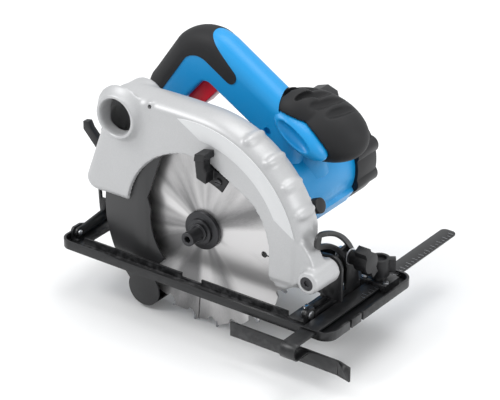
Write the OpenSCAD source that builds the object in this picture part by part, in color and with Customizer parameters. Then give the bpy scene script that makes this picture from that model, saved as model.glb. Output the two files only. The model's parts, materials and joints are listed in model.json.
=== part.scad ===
// Circular saw with a 190 mm blade.
// Frame: +X is the cutting direction, +Y is the motor side, +Z is up.
// The origin lies on the sole, below the arbor axis and in the middle plane of the blade.

/* [Blade] */
// Blade diameter over the tooth tips
blade_d = 190; // [185:1:192]
// Thickness of the blade body
blade_t = 1.8; // [1.4:0.1:2]
// Width of the cut at the tips
kerf = 2.6; // [2.2:0.1:2.8]
// Number of teeth
teeth = 24; // [12:12:36]
// Bore of the blade
blade_bore_d = 20; // [18:1:22]
// Height of the arbor axis above the sole
arbor_h = 48; // [46:1:50]

/* [Base plate] */
// Rear end of the base plate, behind the arbor
base_rear = 141; // [138:1:146]
// Front end of the base plate, ahead of the arbor
base_front = 156; // [154:1:160]
// Reach of the base plate on the blade side
base_right = 33; // [32:1:36]
// Reach of the base plate on the motor side
base_left = 100; // [94:1:110]
// Sheet thickness of the base plate
sheet = 2; // [1.8:0.1:2.2]
// Height of the rolled rim
rim_h = 8; // [6:0.5:8]
// Radius of the plate's corners
corner_r = 12; // [8:1:16]

/* [Upper guard] */
// Outer radius of the guard about the arbor
guard_r = 110; // [109:0.5:111]
// Wall thickness of the casting
guard_wall = 3; // [2.5:0.1:3.2]
// Radius of the window in the side face
window_r = 76; // [74:1:78]
// Bore radius of the dust port
port_r = 17; // [15:0.5:17.5]
// Outer radius of the dust port
port_outer_r = 21; // [20:0.5:21.5]

/* [Motor] */
// Outer radius of the motor housing
motor_r = 43; // [42:0.5:44]
// Joint line between the motor housing and its end cap
cap_y = 136; // [132:1:140]
// Pinion teeth
pinion_teeth = 10; // [9:1:11]
// Drive gear teeth
gear_teeth = 42; // [41:1:43]
// Gear module
gear_m = 1.25; // [1.2:0.01:1.27]

/* [Handle] */
// Middle plane of the handle
handle_y = 69; // [68:1:72]
// Width of the handle across the grip
handle_w = 34; // [30:1:36]

/* [Hidden] */
$fn = 72;
eps = 0.01;
gap = 0.3;
fit = 0.05;

// Blade and arbor
blade_r = blade_d / 2;
tooth_pitch = 360 / teeth;
gullet_depth = 9;
flange_r = 18;
bolt_r = 6.5;
shaft_r = 6;

// Pivot of the depth setting, at the front, and of the tilt, beside the blade
pivot = [124, 43];
tilt_axis = [-14, 9];
tilt_pin_r = 2.5;
link_r = 258;
link_w = 14;
link_slot_w = 8.6;
link_y = [25, 28];
depth_bolt = [pivot[0] - sqrt(link_r * link_r - 19 * 19), pivot[1] + 19];

// Stations across the saw
face_y = -15;
wall_y = 22;
gearbox_y = 48;
cap_end_y = 178;
port_mouth_y = -24;
tunnel_y = 25;
boss_mouth_y = -22;
boss_end_y = 13;
port = [-81, 142];

// Motor axis, set by the gear centre distance
gear_centre = gear_m * (pinion_teeth + gear_teeth) / 2;
motor_dir = 42.5;
motor = [gear_centre * cos(motor_dir), arbor_h + gear_centre * sin(motor_dir)];
gear_y = 28;
gear_w = 9;
bearing_r = 14;
nose_r = 17;
nose_y = 9;
gearbox_r = 30;

// Handle outline: a rear grip at 46 degrees and a front leg at 31 degrees
grip_angle = 46;
leg_angle = -31.3;
handle_apex = [-41.9, 160.4];
handle_top_r = 45;
grip_foot = [-84, 136];
grip_foot_r = 24;
heel = [-92, 104];
heel_r = 16;
leg_foot = [36, 138.8];
leg_foot_r = 23;
shell_wall = 3;

// Front knob
knob_c = [60, 88, 135.5];
knob_len = 47;
knob_r = 32.5;

// Lower guard
lower_r = 102.5;
lower_wall = 1.5;
lower_near_y = -10;
lower_far_y = 13;
hub_r = nose_r + gap;

// Tilt hardware along X
front_plate_x = 117;
quadrant_x = 121;
quadrant_r = 67;
rear_plate_x = -134.3;
plate_t = 3;
tilt_bolt_angle = 28.5;
tilt_range = 45;

// Parallel guide
guide_x = 134;
guide_w = 15.4;
guide_z = 4.2;
guide_t = 2;

// ---- Helpers ----

// Points along an arc, for outlines
function arc(c, r, a0, a1, n = 12) = [for (i = [0:n]) c + r * [cos(a0 + (a1 - a0) * i / n),
    sin(a0 + (a1 - a0) * i / n)]];

// A flat shape drawn in X and Z, given thickness from y0 to y1
module slab_xz(y0, y1) {
    translate([0, y1, 0]) rotate([90, 0, 0]) linear_extrude(y1 - y0) children();
}

// A flat shape drawn in Y and Z, given thickness from x0 to x1
module slab_yz(x0, x1) {
    translate([x0, 0, 0]) rotate([90, 0, 90]) linear_extrude(x1 - x0) children();
}

module rod_y(c, r, y0, y1) {
    translate([c[0], y0, c[1]]) rotate([-90, 0, 0]) cylinder(r = r, h = y1 - y0);
}

module rod_x(c, r, x0, x1) {
    translate([x0, c[0], c[1]]) rotate([0, 90, 0]) cylinder(r = r, h = x1 - x0);
}

module rod_z(c, r, z0, z1) {
    translate([c[0], c[1], z0]) cylinder(r = r, h = z1 - z0);
}

module ring_y(c, r_out, r_in, y0, y1) {
    difference() {
        rod_y(c, r_out, y0, y1);
        rod_y(c, r_in, y0 - 1, y1 + 1);
    }
}

module box(lo, hi) {
    translate(lo) cube(hi - lo);
}

// A pan-head screw seen from its head, its axis pointing up
module pan_screw(head_r, head_h, shank_r, shank_l) {
    difference() {
        union() {
            cylinder(r = head_r, h = head_h);
            translate([0, 0, -shank_l]) cylinder(r = shank_r, h = shank_l + eps);
        }
        translate([-head_r, -0.5, head_h - 0.8]) cube([2 * head_r, 1, 1]);
    }
}

arbor = [0, arbor_h];

// Direction at angle a in a drawing plane
function unit(a) = [cos(a), sin(a)];

// ---- Base ----

// Rounded rectangle of the base plate, drawn in by inset
module base_outline(inset) {
    r = corner_r - inset;
    polygon(concat(
        arc([base_front - corner_r, base_left - corner_r], r, 0, 90),
        arc([-base_rear + corner_r, base_left - corner_r], r, 90, 180),
        arc([-base_rear + corner_r, -base_right + corner_r], r, 180, 270),
        arc([base_front - corner_r, -base_right + corner_r], r, 270, 360)));
}

blade_slot_x = [-122, 103];
blade_slot_y = [-17, 36];
rivet_r = 2.2;
foot_t = 2;
rivet_points = [[108, 3], [108, 40], [108, 54], [-128, 36], [-128, 52]];

module base_plate() {
    lip = sheet + 0.2;
    half = guide_w / 2 + 0.4;
    color("#26282a") difference() {
        union() {
            linear_extrude(sheet) base_outline(0);
            linear_extrude(rim_h) difference() {
                base_outline(0);
                base_outline(lip);
            }
            // Inner lip beside the blade, with a dip opposite the arbor
            for (x = [blade_slot_x[0], 10])
                box([x, blade_slot_y[0] - sheet, 0], [x < 0 ? -12 : blade_slot_x[1], blade_slot_y[0], rim_h]);
            box([-12.1, blade_slot_y[0] - sheet, 0], [10.1, blade_slot_y[0], rim_h - 4]);
        }
        // Slot for the blade and the lower guard
        box([blade_slot_x[0], blade_slot_y[0], -1], [blade_slot_x[1], blade_slot_y[1], rim_h + 1]);
        // Window beside the front bracket
        box([107, 11, -1], [119.5, 34, rim_h]);
        // Sight notches in the front rim
        for (y = [0, 17.5])
            box([base_front - 3, y - 1.5, -1], [base_front + 1, y + 1.5, rim_h + 1]);
        // Passages for the parallel guide through both side rims
        for (y = [-base_right - 1, base_left - 4])
            box([guide_x - half, y, guide_z - 0.6], [guide_x + half, y + 5, guide_z + guide_t + 0.6]);
        for (p = rivet_points) rod_z(p, rivet_r, -1, sheet + 1);
    }
}

module base_rivets() {
    color("#9a9c9e") for (p = rivet_points) {
        rod_z(p, rivet_r, 0.2, sheet + foot_t + 0.2);
        translate([p[0], p[1], sheet + foot_t]) cylinder(r1 = rivet_r + 1.4, r2 = rivet_r, h = 1.2);
    }
}

// A point of the Y-Z plane, given by its radius and angle about the tilt axis
function tilt_point(r, a) = tilt_axis + r * [cos(a), sin(a)];

// A curved slot or strip about the tilt axis
module tilt_arc(r0, r1, a0, a1) {
    polygon(concat(arc(tilt_axis, r1, a0, a1, 24), arc(tilt_axis, r0, a1, a0, 24)));
}

module bevel_quadrant() {
    r_out = quadrant_r + 8;
    r_in = quadrant_r - 8;
    a0 = tilt_bolt_angle - 8;
    a1 = tilt_bolt_angle + tilt_range + 4;
    color("#1f2123") difference() {
        union() {
            slab_yz(quadrant_x, quadrant_x + 2.4) difference() {
                union() {
                    tilt_arc(r_in, r_out, a0, a1);
                    translate(tilt_point(quadrant_r, a1)) circle(r = 8);
                    polygon([[40, sheet], [62, sheet], tilt_point(r_out, a0 + 1), tilt_point(r_in, a0 + 1)]);
                    polygon([[-21, sheet], [62, sheet], [62, 10], [-6, 10], [-9, 14.5], [-19, 14.5], [-21, 12]]);
                }
                tilt_arc(quadrant_r - 3.4, quadrant_r + 3.4, tilt_bolt_angle - 4, a1);
            }
            // Foot that is riveted to the base plate
            box([quadrant_x - 17, -21, sheet], [quadrant_x + 0.1, 8, sheet + foot_t]);
            box([quadrant_x - 17, 36, sheet], [quadrant_x + 0.1, 62, sheet + foot_t]);
        }
        rod_x(tilt_axis, tilt_pin_r, quadrant_x - 1, quadrant_x + 6);
        for (p = rivet_points) rod_z(p, rivet_r, 0, 6);
    }
}

module rear_bracket() {
    x = rear_plate_x - 2.7;
    color("#1f2123") difference() {
        union() {
            slab_yz(x, x + 2.4)
                polygon([[-20, sheet], [60, sheet], [60, 5], [14, 6], [-8, 14.5], [-18, 14.5], [-20, 12]]);
            box([x, 29, sheet], [x + 14, 60, sheet + foot_t]);
            box([x, -20, sheet], [x + 8, -17.5, sheet + foot_t]);
        }
        rod_x(tilt_axis, tilt_pin_r, x - 1, x + 3);
        for (p = rivet_points) rod_z(p, rivet_r, 0, 6);
    }
}

module tilt_pins() {
    x = rear_plate_x - 2.7;
    color("#8d9092") {
        rod_x(tilt_axis, tilt_pin_r, front_plate_x - 1.5, quadrant_x + 2.4);
        rod_x(tilt_axis, tilt_pin_r + 1.6, quadrant_x + 2.4, quadrant_x + 4);
        rod_x(tilt_axis, tilt_pin_r, x, rear_plate_x + 4.5);
        rod_x(tilt_axis, tilt_pin_r + 1.6, x - 1.4, x);
    }
}

// ---- Parallel guide ----

bridge_z = guide_z + guide_t + 0.4;
bridge_y = [66, 88];
knob_pos = [guide_x, 77];

module guide_bridge() {
    half = guide_w / 2 + 0.4;
    color("#222426") difference() {
        union() {
            for (s = [-1, 1]) {
                x = guide_x + s * (half + 2.8);
                box([x - 2.8, bridge_y[0], sheet], [x + 2.8, bridge_y[1], bridge_z + 0.1]);
            }
            box([guide_x - half - 5.6, bridge_y[0], bridge_z], [guide_x + half + 5.6, bridge_y[1], bridge_z + 2.4]);
            rod_z(knob_pos, 7, bridge_z, bridge_z + 6);
        }
        rod_z(knob_pos, 3 + fit, -1, 30);
        for (s = [-1, 1]) rod_z([guide_x + s * (half + 2.8), 70], 1.5, 3, 30);
    }
}

module bridge_screws() {
    color("#b9bcbe") for (s = [-1, 1])
        translate([guide_x + s * (guide_w / 2 + 3.2), 70, bridge_z + 2.4]) pan_screw(2.8, 1.8, 1.5, 5);
}

// A knob with two wings and a hollow top, its stem pointing down
module wing_knob(r, h, wing, stem_r, stem_l) {
    difference() {
        union() {
            cylinder(r = r, h = h);
            for (a = [0, 180]) rotate(a) translate([0, -3.4, h * 0.2]) cube([wing, 6.8, h * 0.78]);
            translate([0, 0, -stem_l]) cylinder(r = stem_r, h = stem_l + eps);
        }
        translate([0, 0, h - 3]) cylinder(r = r - 3, h = 4);
    }
}

module guide_knob() {
    stem = 6.3;
    color("#1b1d1f") translate([knob_pos[0], knob_pos[1], bridge_z + 6 + gap]) rotate(35)
        wing_knob(9, 16, 14, 3, stem);
}

guide_end_y = 194;
curl_r = 8;
curl = [-57, guide_z + guide_t - curl_r];
fence_y = -43;
fence_x = [59, 186];

module parallel_guide() {
    half = guide_w / 2;
    end_r = 5;
    color("#2b2d2f") {
        translate([0, 0, guide_z]) linear_extrude(guide_t) polygon(concat(
            [[guide_x - half, curl[0]], [guide_x + half, curl[0]]],
            arc([guide_x + half - end_r, guide_end_y - end_r], end_r, 0, 90),
            arc([guide_x - half + end_r, guide_end_y - end_r], end_r, 90, 180)));
        // The bar curls under itself to the fence
        slab_yz(guide_x - half, guide_x + half) polygon(concat(
            arc(curl, curl_r, 90, 270, 16), [[fence_y, curl[1] - curl_r], [fence_y, curl[1] - curl_r + guide_t]],
            arc(curl, curl_r - guide_t, 270, 90, 16)));
        box([fence_x[0], fence_y, -20], [fence_x[1] - 14, fence_y + guide_t, -6]);
        translate([fence_x[1] - 14, fence_y, -20]) rotate(-16) cube([14.5, guide_t, 14]);
    }
}

// ---- Tilting frame ----

bevel_bolt_pos = tilt_point(quadrant_r, tilt_bolt_angle);

module front_tilt_bracket() {
    x = front_plate_x;
    color("#1d1f21") difference() {
        union() {
            slab_yz(x, x + plate_t) {
                translate(tilt_axis) circle(r = 4.6);
                polygon([[-14, 4.4], [17, 4.4], [40, 13], [54, 34], [53, 46], [46, 50], [37, 49], [25, 40],
                    [17, 34], [17, 52], [14, 52], [14, 13.6], [-14, 13.6]]);
            }
            slab_xz(14, 17) polygon(concat([[114, 4.4], [x + plate_t, 4.4], [x + plate_t, 13], [136, 13]],
                arc(pivot, 12, -10, 95, 10), [[114, 54]]));
        }
        rod_x(tilt_axis, tilt_pin_r + fit, x - 1, x + plate_t + 1);
        rod_x(bevel_bolt_pos, 3, x - 1, x + plate_t + 1);
        rod_y(pivot, 4, 13, 18);
    }
}

module rear_tilt_bracket() {
    x = rear_plate_x;
    color("#1d1f21") difference() {
        slab_yz(x, x + plate_t) {
            translate(tilt_axis) circle(r = 4.6);
            polygon([[-14, 4.4], [28, 7.4], [28, 24], [24.4, 24], [22, 17], [-6, 13.6], [-14, 13.6]]);
        }
        rod_x(tilt_axis, tilt_pin_r + fit, x - 1, x + plate_t + 1);
    }
}

// Angle about the pivot of a point at height z on the depth link
function link_angle(z) = 180 - asin((z - pivot[1]) / link_r);

module link_strip(w, z0, z1) {
    polygon(concat(arc(pivot, link_r + w / 2, link_angle(z0), link_angle(z1), 16),
        arc(pivot, link_r - w / 2, link_angle(z1), link_angle(z0), 16)));
}

module depth_link() {
    color("#1d1f21") slab_xz(link_y[0], link_y[1]) difference() {
        link_strip(link_w, 12, 128);
        link_strip(link_slot_w, 26, 124);
        // Notch that seats on the rear tilt bracket
        translate([rear_plate_x, 0]) square([plate_t, 24]);
    }
}

module bevel_bolt() {
    color("#8d9092") {
        rod_x(bevel_bolt_pos, 3, front_plate_x - 2, quadrant_x + 8);
        rod_x(bevel_bolt_pos, 6, front_plate_x - 5, front_plate_x);
        difference() {
            rod_x(bevel_bolt_pos, 7.5, quadrant_x + 2.7, quadrant_x + 4);
            rod_x(bevel_bolt_pos, 2.9, quadrant_x, quadrant_x + 8);
        }
    }
}

module bevel_knob() {
    color("#1b1d1f") translate([quadrant_x + 4.4, bevel_bolt_pos[0], bevel_bolt_pos[1]])
        difference() {
            rotate([0, 90, 0]) rotate(25) union() {
                cylinder(r = 6.5, h = 9);
                translate([0, 0, 8]) cylinder(r = 9.5, h = 13);
                for (a = [0, 180]) rotate(a) translate([0, -4, 9]) cube([15, 8, 12]);
            }
            rotate([0, 90, 0]) translate([0, 0, -1]) cylinder(r = 3 + fit, h = 6);
        }
}

module depth_pivot_bolt() {
    color("#8d9092") difference() {
        union() {
            rod_y(pivot, 4 - fit, -19, 18.5);
            rod_y(pivot, 6, -21.5, -18.7);
        }
        translate([pivot[0], -22, pivot[1]]) rotate([-90, 0, 0]) cylinder(r = 3, h = 2.5, $fn = 6);
    }
}

module depth_clamp_bolt() {
    color("#8d9092") rod_y(depth_bolt, 4, wall_y - guard_wall, 36);
}

module depth_lever() {
    reach = [-22, 29];
    color("#1b1d1f") translate([depth_bolt[0], 0, depth_bolt[1]]) difference() {
        slab_xz(29.2, 35.5) {
            circle(r = 9);
            polygon([[-7, 5], [7, 3], reach + [4, 0], reach + [1, 6], reach + [-5, 5], reach + [-5, -3]]);
        }
        rod_y([0, 0], 4 + fit, 20, 40);
    }
}

// ---- Blade guard casting ----

// Side view of the casting, drawn in by d
function guard_outline(d) = concat(
    arc(arbor, guard_r - d, -12.5, 97, 40),
    arc(port, port_outer_r + 1 - d, 92, 190, 16),
    arc([-112, 69], 15 - d, 178, 270, 8),
    [[-75, 54 + d], [-70, 45], [60, 10], [80, 23.5 + d]]);

// Window that shows the blade, with its lever slot at the top
function window_outline(grow) = concat(
    arc(arbor, window_r + grow, 176, 76, 30),
    [[65 + grow, 95], [72 + grow, 84], [76 + grow, 74], [79.5 + grow, 60], [79.5 + grow, 22],
     [79.5 + grow, -60], [-76 - grow, -60], [-76 - grow, 53.5]]);

module upper_guard() {
    web = [[96, 23.6], [108, 60], [118, 52.5], pivot, [114, 35], [104, 23.6]];
    color("#c9cbcd") difference() {
        union() {
            slab_xz(face_y, face_y + guard_wall) difference() {
                polygon(guard_outline(2.5));
                polygon(window_outline(0));
            }
            // Rim, left open where the lower guard passes
            slab_xz(face_y + 2, wall_y) difference() {
                polygon(guard_outline(0));
                polygon(guard_outline(guard_wall + 0.5));
                polygon([[-104.5, 68], [-40, 100], [86, 100], [98, 60], [98, -60], [-104.5, -60]]);
            }
            // Far wall
            slab_xz(wall_y - guard_wall, wall_y) {
                difference() {
                    polygon(guard_outline(0.1));
                    polygon([[-75, 53], [-36, 30], [70, 20], [80, 23.7], [70, -20], [-80, -20]]);
                }
                translate(depth_bolt) circle(r = 9);
                polygon([depth_bolt + [2, -9], [-112, 56], [-112, 90], depth_bolt + [-4, 8]]);
            }
            // Dust port and its tunnel
            rod_y(port, port_outer_r, port_mouth_y, tunnel_y);
            // Pivot boss and its web
            rod_y(pivot, 10.5, boss_mouth_y, boss_end_y);
            slab_xz(face_y + 1, boss_end_y - 1) polygon(web);
            // Raised pads on the rim
            for (a = [20, 33, 46, 59]) slab_xz(-2, 17) polygon(concat(
                arc(arbor, guard_r + 1.6, a - 2.6, a + 2.6, 4), arc(arbor, guard_r - 1, a + 2.6, a - 2.6, 4)));
        }
        rod_y(port, port_r, port_mouth_y - 1, tunnel_y - 3);
        // The chamber opens into the tunnel
        slab_xz(face_y + guard_wall, wall_y - guard_wall) polygon(guard_outline(guard_wall + 0.5));
        rod_y(arbor, 25, wall_y - 10, wall_y + 1);
        rod_y(pivot, 4 + fit, boss_mouth_y - 1, boss_end_y + 1);
        rod_y(pivot, 6.4, boss_mouth_y - 1, -18.6);
        rod_y(depth_bolt, 4, wall_y - 5, wall_y + 1);
        for (p = guard_screw_points) rod_y(p, 2.5, wall_y - 5, wall_y + 1);
        for (p = gearbox_screw_points) rod_y(p, 2, wall_y - 5, wall_y + 1);
    }
}

guard_screw_points = [for (a = [112, 168, 20]) arbor + 38 * unit(a)];

module guard_screws() {
    color("#b9bcbe") for (p = guard_screw_points)
        translate([p[0], wall_y - guard_wall, p[1]]) rotate([90, 0, 0]) pan_screw(4, 2, 2.5, 7.5);
}

module label_panel() {
    color("#e4e6e8") slab_xz(face_y - 0.8, face_y) polygon(concat(
        arc(arbor, guard_r - 4, 14, 96, 24), arc(arbor, guard_r - 13, 78, 26, 16)));
}

// ---- Gear housing ----

module gear_housing() {
    color("#b4b7ba") difference() {
        union() {
            rod_y(arbor, gearbox_r, wall_y, gearbox_y);
            rod_y(motor, motor_r, wall_y, gearbox_y);
            rod_y(arbor, nose_r, nose_y, wall_y + 1);
            for (p = guard_screw_points) rod_y(p, 6, wall_y, wall_y + 12);
            // Arm that carries the spindle lock
            slab_xz(24, 37) polygon([arbor + 30 * lock_dir + 7 * lock_side, arbor + 96 * lock_dir + 7 * lock_side,
                arbor + 96 * lock_dir - 7 * lock_side, arbor + 30 * lock_dir - 7 * lock_side]);
        }
        rod_y(arbor, gear_m * gear_teeth / 2 + 1.6, gear_y - 2, gear_y + gear_w + 1.5);
        rod_y(motor, 11, gear_y - 2, gear_y + gear_w + 1.5);
        rod_y(arbor, bearing_r, nose_y + 3, wall_y - 1);
        rod_y(arbor, 9, nose_y - 1, gear_y);
        rod_y(arbor, 10, gear_y + gear_w, gearbox_y - 1.5);
        rod_y(motor, bearing_r, gearbox_y - 8, gearbox_y + 1);
        rod_y(motor, 6, gear_y + gear_w, gearbox_y);
        for (p = guard_screw_points) rod_y(p, 2.5, wall_y - 1, wall_y + 5);
        for (p = gearbox_screw_points) rod_y(p, 2, wall_y - 1, wall_y + 6);
        translate([0, 32, arbor_h]) rotate([0, -lock_angle, 0]) translate([20, 0, 0]) rotate([0, 90, 0])
            cylinder(r = 3.2, h = 80);
    }
}

lock_angle = 22;
lock_dir = [cos(lock_angle), sin(lock_angle)];
lock_side = [-sin(lock_angle), cos(lock_angle)];

module spindle_lock() {
    color("#1b1d1f") translate([0, 32, arbor_h]) rotate([0, -lock_angle, 0]) rotate([0, 90, 0]) {
        translate([0, 0, 32.5]) cylinder(r = 2.9, h = 70);
        translate([0, 0, 101]) cylinder(r = 7, h = 8);
    }
}

gearbox_screw_points = [for (a = [55, 125, 350]) motor + 38 * unit(a)];

module gearbox_screws() {
    color("#b9bcbe") for (p = gearbox_screw_points)
        translate([p[0], wall_y - guard_wall, p[1]]) rotate([90, 0, 0]) pan_screw(3.4, 1.8, 2, 8);
}

// ---- Lower guard ----

lever_a = [58, 76];
arm_a = [66, 226];
guard_nose = arbor + 96 * [cos(231), sin(231)];
guard_nose_r = 17;

// Wedge about the arbor, from angle a0 to a1
module wedge(a0, a1) {
    polygon(concat([arbor], arc(arbor, 200, a0, a1, 8)));
}

// Lower guard in side view, drawn in by d: a ring sector from a0 with a rounded nose
module lower_outline(a0, d) {
    intersection() {
        circle_at(arbor, lower_r - d);
        wedge(a0, arm_a[1]);
    }
    circle_at(guard_nose, guard_nose_r - d);
}

module lower_guard() {
    near = lower_near_y - lower_wall;
    color("#4b4d50") difference() {
        union() {
            // Near cheek: a narrow arm under the casting that widens to the rear
            slab_xz(near, lower_near_y) difference() {
                lower_outline(arm_a[0], 0);
                difference() {
                    circle_at(arbor, 80);
                    polygon(concat([arbor + 200 * unit(118)], arc(arbor, 200, 130, arm_a[1] + 60, 8),
                        [arbor + 50 * unit(arm_a[1]), arbor + 58 * unit(162), arbor + 79 * unit(118)]));
                }
                circle_at(arbor, 52);
            }
            // Foot that carries the lever
            slab_xz(near, lower_near_y) polygon(concat(
                arc(arbor, 84, lever_a[0] + 4, lever_a[1], 4), arc(arbor, 58, lever_a[1], lever_a[0] + 4, 4)));
            // Rim, open along its front edge
            slab_xz(lower_near_y - 0.5, lower_far_y - 0.5) difference() {
                lower_outline(118, 0);
                lower_outline(110, lower_wall);
                circle_at(arbor, lower_r - lower_wall);
            }
            // Far cheek with its hub
            slab_xz(lower_far_y - lower_wall, lower_far_y) {
                lower_outline(112, 0);
                circle_at(arbor, 30);
            }
            rod_y(arbor, hub_r + 3, lower_far_y - lower_wall, lower_far_y + 2.5);
        }
        rod_y(arbor, hub_r, 5, 30);
        rod_y(lever_hole, 2, lower_near_y - 4, lower_near_y + 2);
    }
}

module circle_at(c, r) {
    translate(c) circle(r = r);
}

lever_hole = arbor + 64 * [cos(67), sin(67)];

module guard_lever() {
    back = lower_near_y - lower_wall;
    a0 = arbor + 59 * [cos(62), sin(62)];
    color("#1b1d1f") difference() {
        union() {
            slab_xz(back - 2, back) polygon(concat(arc(arbor, 72, 62, 77, 4), arc(arbor, 58, 77, 62, 4)));
            // Thumb tab
            slab_xz(back - 17, back) polygon([arbor + 58 * [cos(77), sin(77)], arbor + 72 * [cos(77), sin(77)],
                arbor + 72 * [cos(79.4), sin(79.4)], arbor + 58 * [cos(80), sin(80)]]);
            slab_xz(back - 17, back - 4.5) polygon([arbor + 69 * [cos(77), sin(77)], arbor + 78 * [cos(75), sin(75)],
                arbor + 80.5 * [cos(77.5), sin(77.5)], arbor + 72 * [cos(79.4), sin(79.4)]]);
        }
        rod_y(lever_hole, 2, back - 3, back + 1);
    }
}

module lever_screw() {
    back = lower_near_y - lower_wall;
    color("#8d9092") translate([lever_hole[0], back - 2, lever_hole[1]]) rotate([90, 0, 0])
        pan_screw(3.4, 1.8, 1.9, 5);
}

module guard_spring() {
    color("#a9acae") for (i = [0:1])
        translate([0, 17 + i * 1.9, arbor_h]) rotate([-90, 0, 0]) rotate_extrude() translate([22.5, 0])
            circle(r = 0.9, $fn = 16);
}

// ---- Blade and spindle ----

// One pitch of the blade's edge: gullet, back of the tooth and its tip
function tooth_points(a) = let (root = blade_r - gullet_depth, tip = blade_r - 0.8) [
    for (p = [[tip, 0], [root + 3, 0.6], [root, 2.4], [root + 0.6, 4.2], [root + 4, 5.6], [tip - 3.6, 7],
        [tip - 2.2, 11], [tip - 0.4, tooth_pitch - 1.1]]) p[0] * [cos(a - p[1]), sin(a - p[1])]];

slot_a = [176, 266, 356, 86];
tip_l = 5.4;
tip_t = 1.7;
tip_lead = 8;

module saw_blade() {
    color("#b8babc") slab_xz(-blade_t / 2, blade_t / 2) translate(arbor) difference() {
        polygon([for (i = [teeth - 1:-1:0]) for (p = tooth_points(tooth_pitch * (i + 1) - 7)) p]);
        circle(r = blade_bore_d / 2);
        // Seats of the tips
        for (i = [0:teeth - 1]) rotate(tooth_pitch * i + tip_lead) translate([blade_r - tip_l, -0.2])
            square([tip_l + 1, tip_t]);
        for (a = slot_a) rotate(a) {
            translate([65, 0]) circle(r = 3);
            translate([66, -0.7]) square([blade_r, 1.4]);
        }
    }
}

module carbide_tips() {
    color("#d8dadc") for (i = [0:teeth - 1])
        translate([0, 0, arbor_h]) rotate([0, -(tooth_pitch * i + tip_lead), 0])
            box([blade_r - tip_l, -kerf / 2, -0.2], [blade_r, kerf / 2, tip_t - 0.2]);
}

module inner_flange() {
    color("#3a3c3e") difference() {
        union() {
            rod_y(arbor, nose_r - 1, blade_t / 2, nose_y - 1);
            rod_y(arbor, blade_bore_d / 2, -blade_t / 2 + 0.1, blade_t / 2 + eps);
        }
        rod_y(arbor, shaft_r, -2, nose_y);
    }
}

module outer_flange() {
    color("#3a3c3e") difference() {
        union() {
            rod_y(arbor, flange_r, -5, -blade_t / 2);
            rod_y(arbor, 12, -8.5, -4.9);
        }
        rod_y(arbor, 5, -9, 0);
        rod_y(arbor, 16, -1.6, 0);
    }
}

module blade_bolt() {
    color("#2c2e30") difference() {
        union() {
            rod_y(arbor, bolt_r, -26, -8.5);
            rod_y(arbor, 8.5, -10.5, -8.5);
            rod_y(arbor, 4, -8.6, 6);
        }
        translate([0, -27, arbor_h]) rotate([-90, 0, 0]) cylinder(r = 3.4, h = 9, $fn = 6);
    }
}

module spindle() {
    color("#9a9c9e") difference() {
        union() {
            rod_y(arbor, shaft_r, -blade_t / 2 + 0.1, gearbox_y - 3);
            rod_y(arbor, 8.5, nose_y - 0.9, nose_y + 2.8);
        }
        rod_y(arbor, 4, -3, 8);
    }
}

module spindle_bearings() {
    color("#a9acae") {
        ring_y(arbor, bearing_r, shaft_r + fit, nose_y + 3, wall_y - 2);
        ring_y(arbor, 10, shaft_r + fit, gear_y + gear_w + 1.5, gearbox_y - 1.5);
    }
}

// Spur gear outline with trimmed teeth that run with backlash
module gear_shape(n, turn) {
    pitch_r = gear_m * n / 2;
    step = 360 / n;
    polygon([for (i = [0:n - 1]) for (p = [[-0.38, -1.3], [-0.19, -0.3], [-0.08, 0.85], [0.08, 0.85], [0.19, -0.3],
        [0.38, -1.3]]) (pitch_r + gear_m * p[1]) * [cos(turn + step * (i + p[0])), sin(turn + step * (i + p[0]))]]);
}

module drive_gear() {
    color("#8d9092") slab_xz(gear_y, gear_y + gear_w) translate(arbor) difference() {
        gear_shape(gear_teeth, motor_dir);
        circle(r = shaft_r);
        for (a = [0:60:300]) translate(16 * [cos(a + lock_angle), sin(a + lock_angle)]) circle(r = 3.2);
    }
}

// ---- Motor ----

rotor_y = [74, 124];
fan_y = 54;
comm_y = [138, 154];
tail_y = [160, 168];

module armature_shaft() {
    color("#9a9c9e") {
        slab_xz(gear_y, gear_y + gear_w) translate(motor)
            gear_shape(pinion_teeth, motor_dir + 180 + 180 / pinion_teeth);
        rod_y(motor, 4.6, gear_y - 1, gearbox_y);
        rod_y(motor, 6, gearbox_y - 8, tail_y[1] - 1);
    }
}

module armature_core() {
    color("#b5793c") {
        difference() {
            slab_xz(rotor_y[0], rotor_y[1]) translate(motor) difference() {
                circle(r = 26);
                for (a = [0:30:330]) rotate(a) translate([22, -1.2]) square([6, 2.4]);
            }
            rod_y(motor, 6, 60, 140);
        }
        ring_y(motor, 22, 6, rotor_y[0] - 6, rotor_y[0]);
        ring_y(motor, 22, 6, rotor_y[1], rotor_y[1] + 6);
    }
}

module commutator() {
    color("#c98b4b") slab_xz(comm_y[0], comm_y[1]) translate(motor) difference() {
        circle(r = 13);
        circle(r = 6);
        for (a = [0:22.5:350]) rotate(a) translate([12, -0.3]) square([3, 0.6]);
    }
}

module cooling_fan() {
    color("#2f3133") {
        ring_y(motor, 36, 6, fan_y, fan_y + 2);
        ring_y(motor, 10, 6, fan_y, fan_y + 11);
        for (a = [0:30:330]) translate([motor[0], fan_y + 1.9, motor[1]]) rotate([0, a, 0])
            translate([9.5, 0, -0.8]) cube([26, 9, 1.6]);
    }
}

module armature_bearings() {
    color("#a9acae") {
        ring_y(motor, bearing_r, 6 + fit, gearbox_y - 8, gearbox_y);
        ring_y(motor, 11, 6 + fit, tail_y[0], tail_y[1]);
    }
}

module field_stator() {
    color("#6d7073") {
        difference() {
            rod_y(motor, motor_r - 3.3, rotor_y[0], rotor_y[1]);
            rod_y(motor, 27, rotor_y[0] - 1, rotor_y[1] + 1);
            for (s = [-1, 1]) translate([motor[0] + s * 27 - 6, rotor_y[0] - 1, motor[1] - 15]) cube([12, 60, 30]);
        }
    }
}

brush_a = 52;
brush_y = 146;

// Places children in the frame of one brush: X outwards from the motor axis
module at_brush(k) {
    translate([motor[0], brush_y, motor[1]]) rotate([0, -brush_a - 180 * k, 0]) children();
}

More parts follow.
